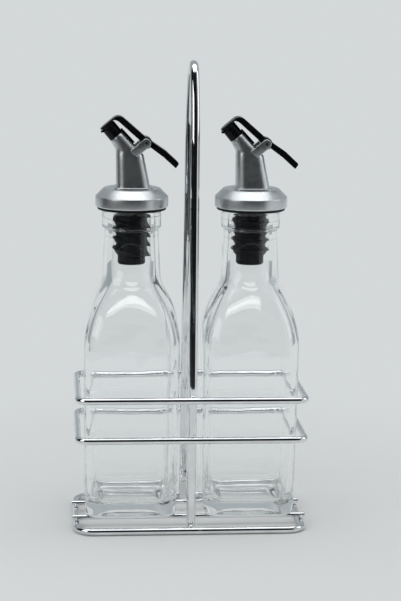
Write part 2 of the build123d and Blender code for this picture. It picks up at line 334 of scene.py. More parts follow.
# %% Rings
BASE_CORNER = 8.5
GUARD_CORNER = 5.0
CORNER_BEND_STEPS = 14
SEAM_GAP = 0.01


def wire_loop(node, corner):
    """A rectangular loop of wire that fills the box of its CAD node."""
    low, high = node_box(node)
    radius = (high.z - low.z) / 2
    height = (high.z + low.z) / 2
    half_x = high.x - radius
    half_y = high.y - radius
    flat_x = half_x - corner
    flat_y = half_y - corner
    loop = bmesh.new()
    runs = ((flat_x, 0), (0, -2 * flat_y), (-2 * flat_x, 0), (0, 2 * flat_y))
    corners = ((flat_x, flat_y), (flat_x, -flat_y), (-flat_x, -flat_y), (-flat_x, flat_y))
    ring = wire_start(loop, radius, (0, half_y, height), (1, 0, 0))
    for (run_x, run_y), (x, y) in zip(runs, corners):
        ring = wire_run(loop, ring, (run_x, run_y, 0))
        ring = wire_bend(loop, ring, (x, y, height), (0, 0, -1), 90, CORNER_BEND_STEPS)
    wire_run(loop, ring, (flat_x, 0, 0))
    bmesh.ops.remove_doubles(loop, verts=loop.verts, dist=SEAM_GAP)
    bmesh.ops.recalc_face_normals(loop, faces=loop.faces)
    finish_piece(loop, f"{node}_wire", "rack", chrome, [node])


wire_loop("base_ring", BASE_CORNER)
wire_loop("lower_guard_ring", GUARD_CORNER)
wire_loop("upper_guard_ring", GUARD_CORNER)

# %% [markdown]
# ## The carrying handle
# One wire makes both legs and the arch. From the side it rises straight past the guard rings,
# leans in by about four degrees, turns in on a wide bend and closes over the top on a tight one.
# The straight run between the bends is worked out so that the two halves meet on the centre line.

# %% Angles in degrees
def cosine(degrees):
    """The cosine of an angle in degrees."""
    return math.cos(math.radians(degrees))


def sine(degrees):
    """The sine of an angle in degrees."""
    return math.sin(math.radians(degrees))


print("sine of 30 degrees:", round(sine(30), 3))

# %% Handle's side view
handle_low, handle_high = node_box("handle")
HANDLE_R = (handle_high.x - handle_low.x) / 2
LEG_Y = handle_high.y - HANDLE_R
LEAN = 4.3
TIP_LEAN = 26.0
KNEE_RADIUS = 60.0
ARCH_RADIUS = 95.0
TIP_RADIUS = 8.0

inward = LEG_Y - KNEE_RADIUS * (1 - cosine(LEAN)) - ARCH_RADIUS * (cosine(LEAN) - cosine(TIP_LEAN))
straight = (inward - TIP_RADIUS * cosine(TIP_LEAN)) / sine(LEAN)
rise = KNEE_RADIUS * sine(LEAN) + straight * cosine(LEAN)
rise += ARCH_RADIUS * (sine(TIP_LEAN) - sine(LEAN)) + TIP_RADIUS * (1 - sine(TIP_LEAN))
knee_height = handle_high.z - HANDLE_R - rise
tip_height = handle_high.z - HANDLE_R - TIP_RADIUS
arch_y = TIP_RADIUS * cosine(TIP_LEAN) - ARCH_RADIUS * cosine(TIP_LEAN)
arch_height = tip_height + (TIP_RADIUS - ARCH_RADIUS) * sine(TIP_LEAN)
print("straight run of the handle:", round(straight, 1), "mm from", round(knee_height, 1), "mm up")

# %% Handle wire
LEG_PIECES = 4
SLOPE_PIECES = 6
KNEE_STEPS = 4
ARCH_STEPS = 16
TIP_STEPS = 28
HANDLE_END_BREAK = 0.4
TURN_IN = (-1, 0, 0)

handle = bmesh.new()
ring = wire_start(handle, HANDLE_R, (0, -LEG_Y, handle_low.z), (0, 0, 1))
front_end = ring
ring = wire_run(handle, ring, (0, 0, knee_height - handle_low.z), LEG_PIECES)
ring = wire_bend(handle, ring, (0, -LEG_Y + KNEE_RADIUS, knee_height), TURN_IN, LEAN, KNEE_STEPS)
ring = wire_run(handle, ring, (0, straight * sine(LEAN), straight * cosine(LEAN)), SLOPE_PIECES)
ring = wire_bend(handle, ring, (0, -arch_y, arch_height), TURN_IN, TIP_LEAN - LEAN, ARCH_STEPS)
ring = wire_bend(handle, ring, (0, 0, tip_height), TURN_IN, 180 - 2 * TIP_LEAN, TIP_STEPS)
ring = wire_bend(handle, ring, (0, arch_y, arch_height), TURN_IN, TIP_LEAN - LEAN, ARCH_STEPS)
ring = wire_run(handle, ring, (0, straight * sine(LEAN), -straight * cosine(LEAN)), SLOPE_PIECES)
ring = wire_bend(handle, ring, (0, LEG_Y - KNEE_RADIUS, knee_height), TURN_IN, LEAN, KNEE_STEPS)
ring = wire_run(handle, ring, (0, 0, handle_low.z - knee_height), LEG_PIECES)
wire_cap(handle, front_end, HANDLE_END_BREAK)
wire_cap(handle, ring, HANDLE_END_BREAK)
bmesh.ops.recalc_face_normals(handle, faces=handle.faces)
print("handle top:", round(max(vert.co.z for vert in handle.verts), 1), "mm")
finish_piece(handle, "handle_wire", "rack", chrome, ["handle"])

# %% [markdown]
# ## Cross wires
# Two straight rods lie on the base ring from end to end, and the bottles stand on them. Each cut
# end is flat with its edge broken, so the end of the drawn wire is filled and its rim bevelled.

# %% Cross wires
ROD_PIECES = 6
ROD_END_BREAK = 0.3
for node in ("front_cross_wire", "rear_cross_wire"):
    low, high = node_box(node)
    radius = (high.z - low.z) / 2
    wire = bmesh.new()
    start = wire_start(wire, radius, (low.x, (low.y + high.y) / 2, low.z + radius), (1, 0, 0))
    end = wire_run(wire, start, (high.x - low.x, 0, 0), ROD_PIECES)
    wire_cap(wire, start, ROD_END_BREAK)
    wire_cap(wire, end, ROD_END_BREAK)
    bmesh.ops.recalc_face_normals(wire, faces=wire.faces)
    finish_piece(wire, f"{node}_rod", "rack", chrome, [node])

# %% [markdown]
# ## Welds
# Where two wires cross they are resistance welded: the metal softens, sinks together and squeezes
# out as a small smooth bead in the corner between them. The plate covers the beads like the wire.
# A squashed sphere sunk into both wires leaves just that bead showing, so one small helper puts
# one at each crossing. The base ring also has a butt weld where its two ends were joined.

# %% Welds
RING_BEAD = (2.5, 1.0, 2.2)
ROD_BEAD = (1.3, 1.7, 0.9)
BUTT_X = 4.2
BUTT_HALF_WIDTH = 0.8
BUTT_SWELL = 0.08


def weld_bead(mesh_edit, at, size):
    """A smooth bead of metal about a crossing, stretched to its size along X, Y and Z."""
    matrix = Matrix.Translation(at) @ Matrix.Diagonal((*size, 1.0))
    bmesh.ops.create_icosphere(mesh_edit, subdivisions=3, radius=1.0, matrix=matrix)


base_low, base_high = node_box("base_ring")
base_r = (base_high.z - base_low.z) / 2
welds = bmesh.new()
for node in ("base_ring", "lower_guard_ring", "upper_guard_ring"):
    low, high = node_box(node)
    middle = (low.z + high.z) / 2
    # The bead at the foot stops at the table.
    bead = (*RING_BEAD[:2], min(RING_BEAD[2], middle))
    for side in (-1, 1):
        weld_bead(welds, (0, side * (LEG_Y + HANDLE_R), middle), bead)
for node in ("front_cross_wire", "rear_cross_wire"):
    low, high = node_box(node)
    for side in (-1, 1):
        spot = (side * (base_high.x - base_r), (low.y + high.y) / 2, base_high.z)
        weld_bead(welds, spot, ROD_BEAD)
butt_r = base_r + BUTT_SWELL
weld_bead(welds, (BUTT_X, base_low.y + base_r, base_low.z + base_r),
          (BUTT_HALF_WIDTH, butt_r, butt_r))
finish_piece(welds, "rack_weld_beads", "rack", chrome)

# %% [markdown]
# ## A skin drawn through level sections
# A square bottle is blown into a mould whose section changes with height: a square with rounded
# corners in the body, a circle in the neck. The skin here is made the same way. Each level is a
# square face whose four corners are bevelled round, kept only as its outline. Neighbouring levels
# are then bridged. The corner radius grows up the shoulder until nothing of the square is left.

# %% Section tools
CORNER_STEPS = 10
PANEL_CUTS = 11


def square_level(mesh_edit, height, half, corner, roundness):
    """One level of the bottle: a square outline with round corners, cast towards a circle."""
    made = bmesh.ops.create_grid(mesh_edit, x_segments=1, y_segments=1, size=half,
                                 matrix=Matrix.Translation((0, 0, height)))
    face = round_corners(mesh_edit, made["verts"], corner, CORNER_STEPS)[0].link_faces[0]
    panels = sorted(face.edges, key=lambda edge: edge.calc_length())[-4:]
    bmesh.ops.subdivide_edges(mesh_edit, edges=panels, cuts=PANEL_CUTS)
    for vert in face.verts:
        circle_spot = vert.co.xy.normalized() * half
        vert.co.xy = vert.co.xy.lerp(circle_spot, roundness)
    outline = list(face.edges)
    bmesh.ops.delete(mesh_edit, geom=[face], context="FACES_ONLY")
    return outline


def skin_through(mesh_edit, outlines):
    """Bridge the outlines in turn, close both ends, turn the faces outwards, and give the ends."""
    for lower, upper in zip(outlines, outlines[1:]):
        bmesh.ops.bridge_loops(mesh_edit, edges=lower + upper)
    ends = [bmesh.ops.edgeloop_fill(mesh_edit, edges=outline)["faces"][0]
            for outline in (outlines[0], outlines[-1])]
    faces = list({face for outline in outlines for edge in outline for face in edge.link_faces})
    bmesh.ops.recalc_face_normals(mesh_edit, faces=faces)
    return ends


# %% [markdown]
# ## Profile of the bottle
# The body widens by less than a millimetre a side from foot to shoulder. The shoulder is an arc
# that leans in to 32 degrees, and a tighter arc turns it back up into the neck. Where the neck
# starts, and how wide it is, follow from those arcs, so the skin has no kink. The wall thickens up
# the shoulder into the neck.

# %% Bottle profile, heights above the bottle's foot
bottle_low, bottle_high = node_box("left_bottle")
FOOT = bottle_low.z
MOUTH = bottle_high.z - FOOT
BODY_HALF = (bottle_high.x - bottle_low.x) / 2
FOOT_HALF = BODY_HALF - 0.85
BODY_CORNER = 8.0
SHOULDER = 89.4
SHOULDER_LEAN = 32.0
SHOULDER_RADIUS = 48.0
SWEEP_RADIUS = 12.0
HEEL = 3.2
WALL = 2.6
NECK_WALL = 4.4
FLOOR = 6.4
WAIST_RADIUS = 13.5
FINISH_RADIUS = 14.7
BORE = 9.6
NECK_FOOT = SHOULDER + (SHOULDER_RADIUS + SWEEP_RADIUS) * sine(SHOULDER_LEAN)
NECK_RADIUS = BODY_HALF - (SHOULDER_RADIUS + SWEEP_RADIUS) * (1 - cosine(SHOULDER_LEAN))
ROUNDING_LEAD = 4
ROUNDING_POWER = 1.5


def half_at(height):
    """Half width of the outer skin at a height up to the foot of the neck."""
    if height < SHOULDER:
        return FOOT_HALF + (BODY_HALF - FOOT_HALF) * math.sin(math.pi / 2 * height / SHOULDER)
    top = SHOULDER + SHOULDER_RADIUS * sine(SHOULDER_LEAN)
    if height < top:
        above = height - SHOULDER
        return BODY_HALF - SHOULDER_RADIUS + math.sqrt(SHOULDER_RADIUS ** 2 - above ** 2)
    below = max(NECK_FOOT - height, 0.0)
    return NECK_RADIUS + SWEEP_RADIUS - math.sqrt(SWEEP_RADIUS ** 2 - below ** 2)


def roundness_at(height):
    """Square in the body, then rounder and rounder up the shoulder to a round neck."""
    climb = height - SHOULDER + ROUNDING_LEAD
    share = max(0.0, climb / (NECK_FOOT - SHOULDER + ROUNDING_LEAD))
    return min(1.0, share) ** ROUNDING_POWER


def wall_at(height):
    """Thickness of the glass at a height up to the foot of the neck."""
    share = max(0.0, (height - SHOULDER) / (NECK_FOOT - SHOULDER))
    return WALL + (NECK_WALL - WALL) * share


print("neck radius:", round(NECK_RADIUS, 2), "mm at", round(NECK_FOOT, 1), "mm")


# %% [markdown]
# ## Outer and inner skin of the bottle
# Going round the profile once gives the whole piece of glass: from the middle of the punt under
# the foot, out round the heel, up the body and shoulder, round the finish and the lip, down the
# bore, and along the inside to the middle of the floor. The bottom is thick and its inner heel is
# rounded, which is what makes the bright ripples low in the bottle. A mould leaves the inside less
# even than the outside, so the inner skin gets long shallow waves, and wires behind it look bent.

# %% Levels of the bottle
def body_heights(low, high, count):
    """Even steps from one height to another."""
    return [low + (high - low) * step / count for step in range(count + 1)]


def flat_level(half, height):
    """A square level whose corners are as round as the body's, for its size."""
    return (height, half, half * BODY_CORNER / BODY_HALF, 0.0)


def round_level(radius, height):
    """A round level of the neck or the finish."""
    return (height, radius, radius * BODY_CORNER / BODY_HALF, 1.0)


def skin_level(height, inset):
    """A level of the body or shoulder, an inset inside the outer skin."""
    half = half_at(height) - inset
    corner = half * BODY_CORNER / BODY_HALF - 0.3 * inset
    return (height, half, corner, roundness_at(height))


# %% Outside of the bottle
PUNT = ((6.0, 1.9), (11.5, 1.8), (14.8, 1.4), (16.6, 0.5), (17.8, 0.1), (18.8, 0.0))
NECK = ((14.3, 126.5), (13.95, 133.0), (13.6, 139.0))
FINISH_FOOT = 144.1
FINISH_TOP = 148.4
LIP_ROUND = 1.6
BODY_START = 5.0
BODY_LEVELS = 17
SHOULDER_LEVELS = 22


def outer_levels():
    """Punt, standing rim, heel, body, shoulder, neck and the bead of the finish."""
    levels = [flat_level(half, height) for half, height in PUNT]
    levels += [flat_level(x, z) for x, z in arc((FOOT_HALF - HEEL, HEEL), HEEL, -80, -10, 7)]
    heights = body_heights(BODY_START, SHOULDER, BODY_LEVELS)
    heights += body_heights(SHOULDER, NECK_FOOT, SHOULDER_LEVELS)[1:]
    levels += [skin_level(height, 0.0) for height in heights]
    neck = list(NECK)
    neck += arc((WAIST_RADIUS + 1.0, FINISH_FOOT - 1.0), 1.0, 180, 125, 4)
    neck += arc((FINISH_RADIUS - 0.8, FINISH_FOOT + 0.8), 0.8, -55, 0, 4)
    neck += [(FINISH_RADIUS, FINISH_TOP)]
    neck += arc((FINISH_RADIUS - LIP_ROUND, MOUTH - LIP_ROUND), LIP_ROUND, 0, 88, 7)
    return levels + [round_level(radius, height) for radius, height in neck]


print("levels outside:", len(outer_levels()))

# %% Inside of the bottle
BORE_ROUND = 1.3
INNER_HEEL = 6.0
INNER_LEVELS = 30


def inner_levels():
    """The lip, the bore and the inside, down to the floor."""
    bore = arc((BORE + BORE_ROUND, MOUTH - BORE_ROUND), BORE_ROUND, 92, 180, 6)
    bore += [(BORE, 146.0), (BORE, 138.0), (BORE + 0.2, 130.0)]
    levels = [round_level(radius, height) for radius, height in bore]
    for height in reversed(body_heights(FLOOR + INNER_HEEL + 0.5, NECK_FOOT, INNER_LEVELS)):
        levels.append(skin_level(height, wall_at(height)))
    inner_half = half_at(FLOOR) - WALL
    floor = arc((inner_half - INNER_HEEL, FLOOR + INNER_HEEL), INNER_HEEL, -8, -82, 8)
    floor += [(inner_half - 8.5, FLOOR - 0.2), (8.0, FLOOR - 0.4)]
    return levels + [flat_level(half, height) for half, height in floor]


print("levels inside:", len(inner_levels()))

# %% Waves of the inner skin
WAVES = ({"width": 9, "height": 15, "depth": 0.16}, {"width": 3.5, "height": 9, "depth": 0.035})
WAVES_END = 128


def wave_inside(mesh_edit, first, seed):
    """Push the inner skin in and out by long shallow waves, as a mould leaves it."""
    offset = Vector((seed, 2.3 * seed, 0.7 * seed))
    for vert in list(mesh_edit.verts)[first:]:
        flat = Vector((vert.co.x, vert.co.y, 0))
        if vert.co.z > WAVES_END or flat.length < 1:
            continue
        push = 0.0
        for wave in WAVES:
            spot = Vector((vert.co.x / wave["width"], vert.co.y / wave["width"],
                           vert.co.z / wave["height"]))
            push += wave["depth"] * noise.noise(spot + offset)
        vert.co += flat.normalized() * push


# %% Bottles
def make_bottle(side, seed):
    """One bottle of clear glass, with an outer and an inner skin."""
    node = f"{side}_bottle"
    low, high = node_box(node)
    bottle = bmesh.new()
    outside = outer_levels()
    levels = outside + inner_levels()
    ends = skin_through(bottle, [square_level(bottle, *level) for level in levels])
    bmesh.ops.poke(bottle, faces=ends)
    per_level = 4 * (CORNER_STEPS + PANEL_CUTS + 1)
    wave_inside(bottle, per_level * len(outside), seed)
    place = place_mm(x=(low.x + high.x) / 2, z=FOOT)
    piece = finish_piece(bottle, f"{node}_glass", node, glass, [node], place,
                         sharp=60)
    # Clear glass hardly shades the floor, so it is left out of the shadows and the soft light.
    piece.visible_shadow = False
    piece.visible_diffuse = False


make_bottle("left", seed=3.1)
make_bottle("right", seed=8.4)

# %% [markdown]
# ## Turned pieces
# The stopper, the collar, the nozzle and the seal are all round, so each is half a section spun
# about the neck axis. The half section is a closed outline of radius and height, which makes the
# turned piece a closed solid with its inner side as well.

# %% Turning tool
TURNED_MERGE = 0.0005


def turned(mesh_edit, outline, steps=72, matrix=Matrix()):
    """Spin an outline of (radius, height) points about Z. One that ends on the axis stays open."""
    verts = [mesh_edit.verts.new((radius, 0, height)) for radius, height in outline]
    first = 1 if outline[0][0] == outline[-1][0] == 0 else 0
    edges = [mesh_edit.edges.new((verts[i - 1], verts[i])) for i in range(first, len(verts))]
    before = set(mesh_edit.verts) - set(verts)
    bmesh.ops.spin(mesh_edit, geom=verts + edges, cent=(0, 0, 0), axis=(0, 0, 1), dvec=(0, 0, 0),
                   angle=math.tau, steps=steps, use_merge=True, use_duplicate=False)
    made = [vert for vert in mesh_edit.verts if vert not in before]
    bmesh.ops.remove_doubles(mesh_edit, verts=made, dist=TURNED_MERGE)
    made = [vert for vert in mesh_edit.verts if vert not in before]
    faces = list({face for vert in made for face in vert.link_faces})
    bmesh.ops.recalc_face_normals(mesh_edit, faces=faces)
    bmesh.ops.transform(mesh_edit, matrix=matrix, verts=made)
    return made

# %% [markdown]
# ## Rubber stopper
# Under the collar sits a thin flange that seals on the glass. Below it the plug has five soft
# lips that bend against the bore. Moulded lips are sharp at the edge and conical underneath, and
# in a used pourer they no longer lie quite level, so each lip is tipped and waved a little. One lip
# is a few points of the half section, and a loop repeats it down the plug.

# %% Stopper section
stopper_low, stopper_high = node_box("left_stopper")
COLLAR_BASE = stopper_high.z
STOPPER_END = stopper_low.z - COLLAR_BASE
FLANGE_RADIUS = (stopper_high.x - stopper_low.x) / 2
SLEEVE = 4.46
VALLEY = 7.6
LIP_RADIUS = BORE + 0.03
LIP_DEPTHS = (2.9, 7.2, 11.5, 16.2, 21.3)


def stopper_outline():
    """Half section of the plug: the flange, the lips and the end."""
    rim = FLANGE_RADIUS - 0.35
    outline = [(SLEEVE, 0.0), (rim, 0.0), (rim + 0.25, -0.1), (FLANGE_RADIUS, -0.35),
               (FLANGE_RADIUS, -1.0), (rim + 0.25, -1.28), (rim, -1.38), (9.2, -1.38), (8.8, -1.6)]
    for depth in LIP_DEPTHS:
        outline += [(VALLEY + 0.3, -depth + 0.75), (LIP_RADIUS - 0.9, -depth + 0.3),
                    (LIP_RADIUS - 0.15, -depth + 0.16), (LIP_RADIUS, -depth),
                    (LIP_RADIUS - 0.1, -depth - 0.22), (LIP_RADIUS - 0.9, -depth - 0.7),
                    (VALLEY + 0.35, -depth - 1.9), (VALLEY, -depth - 2.3)]
    outline += [(6.95, -24.2), (6.9, STOPPER_END + 0.7), (6.3, STOPPER_END), (SLEEVE, STOPPER_END)]
    return outline


print("points in the stopper's section:", len(stopper_outline()))

# %% Stopper
LIP_WAVE = 0.5
LIP_WAVE_WIDTH = 7
LIPS_START = 2
LIPS_FREE = 5


def unsettle_lips(mesh_edit, seed, tip, drop):
    """Tip and wave the lips. The tip is how far they fall per millimetre to the right."""
    for vert in mesh_edit.verts:
        out = math.hypot(vert.co.x, vert.co.y)
        # The sleeve inside and the flange on the glass stay where they are.
        if out < VALLEY - 0.4 or vert.co.z > -LIPS_START or out > LIP_RADIUS + 1:
            continue
        share = min(1.0, (out - VALLEY + 0.6) / (LIP_RADIUS - VALLEY + 0.6))
        deeper = min(1.0, -vert.co.z / LIPS_FREE)
        spot = Vector((vert.co.x / LIP_WAVE_WIDTH, vert.co.y / LIP_WAVE_WIDTH,
                       vert.co.z * 0.3 + seed))
        wave = LIP_WAVE * noise.noise(spot) - tip * vert.co.x - drop
        vert.co.z += share * deeper * wave


def make_stopper(side, neck_x, seed, tip, drop):
    """One rubber plug with its unsettled lips."""
    node = f"{side}_stopper"
    plug = bmesh.new()
    turned(plug, stopper_outline(), steps=80)
    unsettle_lips(plug, seed, tip, drop)
    finish_piece(plug, f"{node}_rubber", node, rubber, [node],
                 place_mm(neck_x, 0, COLLAR_BASE), sharp=50)


# %% [markdown]
# ## The spout's own tilted frame
# The nozzle leans forty degrees from upright, and the flap, the ears and the end of the shell all
# lie square to it. So these are drawn in a tilted frame whose X runs across the nozzle and whose Z
# runs out along it, and one matrix turns them into place.

# %% Tilted frame
TILT = 40.0
TILTED = Matrix.Rotation(math.radians(-TILT), 4, "Y")
NOZZLE_X = 16.2
SHELL_END = 31.6
NOZZLE_END = 38.0
lever_joint = joints["left_lever_tip"]
turn_joint = joints["left_spout_turn"]
PIN = (Vector(lever_joint["pos_m"]) - Vector(turn_joint["pos_m"])) / MM
PIN_ACROSS = TILTED.inverted() @ PIN
print("pin from the collar, mm:", [round(value, 2) for value in PIN])


def tilted(x, z):
    """A point of the tilted frame, as X and Z of the pourer."""
    spot = TILTED @ Vector((x, 0, z))
    return spot.x, spot.z


# %% [markdown]
# ## Flat plates with a side outline
# The ears and the lever are flat-sided parts with a shape seen from the side. Each starts as one
# face with that outline, its corners are bevelled in the plane where the real part is rounded, the
# face is extruded to the width, and last the long edges are broken by a small bevel so that they
# catch a line of light.

# %% Plate tool
PLATE_ROUND_STEPS = 8
SAME_Y = 1e-6


def side_plate(mesh_edit, outline, rounding, y_low, y_high, edge_break, segments=3):
    """Extrude a side outline between two Y values. Rounding maps an outline index to a radius."""
    before = set(mesh_edit.verts)
    verts = [mesh_edit.verts.new((x, y_low, z)) for x, z in outline]
    mesh_edit.faces.new(verts)
    for index, radius in rounding.items():
        round_corners(mesh_edit, [verts[index]], radius, PLATE_ROUND_STEPS)
    face = next(face for face in mesh_edit.faces if not before & set(face.verts))
    made = bmesh.ops.extrude_face_region(mesh_edit, geom=[face])
    moved = only(bmesh.types.BMVert, made["geom"])
    bmesh.ops.translate(mesh_edit, verts=moved, vec=(0, y_high - y_low, 0))
    new_verts = [vert for vert in mesh_edit.verts if vert not in before]
    rims = [edge for edge in edges_within(mesh_edit, new_verts)
            if abs(edge.verts[0].co.y - edge.verts[1].co.y) < SAME_Y]
    faces = list({face for vert in new_verts for face in vert.link_faces})
    bmesh.ops.recalc_face_normals(mesh_edit, faces=faces)
    break_edges(mesh_edit, rims, edge_break, segments)

# %% [markdown]
# ## Silver spout shell
# The shell is one moulding: a round collar with a bright chamfer, a low plinth, and a spout that
# starts upright, narrows and leans over to the nozzle. Its flat front and back meet rounded sides.
# The collar is turned. The spout is drawn like the bottle, through rounded sections, but each
# section is tipped to stay square to the spout's own direction. Two ears stand up behind it for
# the lever's pin.

# %% Collar section
COLLAR_SIDE = 5.1
COLLAR_TOP = 9.1
COLLAR_FLAT = 14.0


def collar_outline():
    """Side band, chamfer and flat top, each corner softly rounded, and a hollow underside."""
    outline = [(16.4, 0.25), (16.7, 0.05), (17.5, 0.0)]
    outline += arc((17.4, 0.6), 0.6, -80, 0, 3)
    outline += arc((17.2, COLLAR_SIDE - 0.35), 0.8, 0, 45, 4)
    outline += arc((COLLAR_FLAT - 0.45, COLLAR_TOP - 1.0), 1.0, 45, 90, 4)
    outline += [(11.0, COLLAR_TOP), (6.0, COLLAR_TOP), (6.0, COLLAR_TOP - 1.6),
                (12.8, COLLAR_TOP - 1.6), (16.4, COLLAR_SIDE - 1.0)]
    return outline


print("collar, mm:", max(radius for radius, _ in collar_outline()), "out,", COLLAR_TOP, "high")

# %% Spout section
PANELS = 2
CROWN_CUTS = 5
SPOUT_CORNER_STEPS = 8


def spout_level(mesh_edit, left, right, half_y, left_corner, right_corner, crown=0.0):
    """A section of the spout between two points of its side view, as a closed outline."""
    run = Vector((right[0] - left[0], 0, right[1] - left[1]))
    middle = Matrix.Translation(((left[0] + right[0]) / 2, 0, (left[1] + right[1]) / 2))
    tip = Matrix.Rotation(-math.atan2(run.z, run.x), 4, "Y")
    size = Matrix.Diagonal((run.length / 2, half_y, 1, 1))
    made = bmesh.ops.create_grid(mesh_edit, x_segments=1, y_segments=1, size=1.0,
                                 matrix=middle @ tip @ size)
    centre_x = (left[0] + right[0]) / 2
    lefts = [vert for vert in made["verts"] if vert.co.x < centre_x]
    rights = [vert for vert in made["verts"] if vert.co.x > centre_x]
    for verts, corner in ((lefts, left_corner), (rights, right_corner)):
        rounded = round_corners(mesh_edit, verts, corner, SPOUT_CORNER_STEPS)
    face = rounded[0].link_faces[0]
    outline = sorted(face.edges, key=lambda edge: edge.calc_length())
    bmesh.ops.delete(mesh_edit, geom=[face], context="FACES_ONLY")
    cut = bmesh.ops.subdivide_edges(mesh_edit, edges=outline[-PANELS:], cuts=CROWN_CUTS)
    outline = outline[:-PANELS] + only(bmesh.types.BMEdge, cut["geom_split"])
    for vert in {vert for edge in outline for vert in edge.verts}:
        along = Vector((vert.co.x - centre_x, 0, vert.co.z - (left[1] + right[1]) / 2)).length
        share = max(0.0, 1 - (2 * along / run.length) ** 2)
        vert.co.y += math.copysign(crown * share, vert.co.y)
    return outline


# %% Levels of the spout
# Half width, then the corner radii on the left and on the right.
SIZES_AT_PLINTH = (6.7, 4.3, 4.4)
SIZES_AT_BEND = (5.6, 4.0, 3.8)
SIZES_AT_END = (4.3, 3.6, 3.5)
CROWN = 0.45
UPRIGHT_STEPS = 6
LEANING_STEPS = 8
BEND_AT = 0.4
BEND_PACE = 2.2


def between(start, end, share):
    """The point at a share of the way from one point to another."""
    return tuple(a + (b - a) * share for a, b in zip(start, end))


def spout_levels():
    """Left and right side points, half width and corner radii, from the plinth to the end."""
    left_low, left_high, bend = (-7.8, 9.0), (-8.0, 25.5), (-8.05, 27.6)
    right_low, right_high = (9.0, 9.0), (5.6, 25.5)
    left_end, right_end = tilted(NOZZLE_X - 3.7, SHELL_END), tilted(NOZZLE_X + 3.8, SHELL_END)
    levels = []
    for step in range(UPRIGHT_STEPS + 1):
        share = step / UPRIGHT_STEPS
        levels.append((between(left_low, left_high, share), between(right_low, right_high, share),
                       *between(SIZES_AT_PLINTH, SIZES_AT_BEND, share), CROWN))
    for step in range(1, LEANING_STEPS + 1):
        share = step / LEANING_STEPS
        low = between(left_high, bend, min(1.0, share * BEND_PACE))
        high = between(bend, left_end, (share - BEND_AT) / (1 - BEND_AT))
        left = low if share < BEND_AT else high
        levels.append((left, between(right_high, right_end, share),
                       *between(SIZES_AT_BEND, SIZES_AT_END, share), CROWN))
    return levels


print("levels in the spout:", len(spout_levels()))

# %% Plinth and ears
PLINTH_LEFT = -8.9
PLINTH_RIGHT = 10.1
PLINTH_HALF = 8.4
PLINTH_CORNERS = (3.6, 4.4)
EAR_INSIDE = 4.2
EAR_OUTSIDE = 6.0
EAR_HALF = 2.3
EAR_ROOT = 17.0
EDGE_BREAK = 0.35


def add_plinth(shell):
    """The low step under the spout. Each level has its rise, its inset and its tighter corners."""
    outlines = []
    for rise, inset, tighter in ((-0.1, 0.0, 0.0), (0.5, 0.0, 0.0), (0.66, 0.15, 0.1)):
        height = COLLAR_TOP + rise
        corners = [corner - tighter for corner in PLINTH_CORNERS]
        outlines.append(spout_level(shell, (PLINTH_LEFT + inset, height),
                                    (PLINTH_RIGHT - inset, height), PLINTH_HALF - inset, *corners))
    skin_through(shell, outlines)


def add_ears(shell):
    """Two plates with rounded tops, one on each side of the lever, about the pin."""
    low, high = PIN_ACROSS.z - EAR_HALF, PIN_ACROSS.z + EAR_HALF
    tip = PIN_ACROSS.x + EAR_HALF
    strip = [tilted(x, z) for x, z in ((EAR_ROOT, low), (tip, low), (tip, high), (EAR_ROOT, high))]
    rounding = {1: EAR_HALF - 0.02, 2: EAR_HALF - 0.02}
    for y_low, y_high in ((-EAR_OUTSIDE, -EAR_INSIDE), (EAR_INSIDE, EAR_OUTSIDE)):
        side_plate(shell, strip, rounding, y_low, y_high, EDGE_BREAK)


# %% Spout shell
def make_shell(side, neck_x):
    """One silver shell: collar, spout, plinth and ears."""
    node = f"{side}_spout_shell"
    shell = bmesh.new()
    turned(shell, collar_outline(), steps=96)
    ends = skin_through(shell, [spout_level(shell, *level) for level in spout_levels()])
    break_edges(shell, list(ends[1].edges), EDGE_BREAK)
    add_plinth(shell)
    add_ears(shell)
    finish_piece(shell, f"{node}_silver", f"{side}_spout", silver, [node],
                 place_mm(neck_x, 0, COLLAR_BASE), sharp=40)


# %% [markdown]
# ## Black insert
# A second moulding inside the shell carries the oil: a stem down through the stopper, a bend, and
# the nozzle that shows past the shell's end, with a small beak that sheds the last drop. A narrow
# rib of it shows along the spout's upper edge, and a disc closes the collar from below. The bend is
# hidden in the shell, so the stem and the nozzle are two turned parts that meet there.

# %% Spout insert
STEM = 4.4
STEM_TOP = 24.0
POUR = 2.1
DISC_RADIUS = 16.2
DISC_LOW = 0.02
DISC_TOP = 1.5
NOZZLE_RADIUS = 3.75
NOZZLE_GROOVE = 3.6
ALONG_NOZZLE = TILTED @ Matrix.Translation((NOZZLE_X, 0, 0))


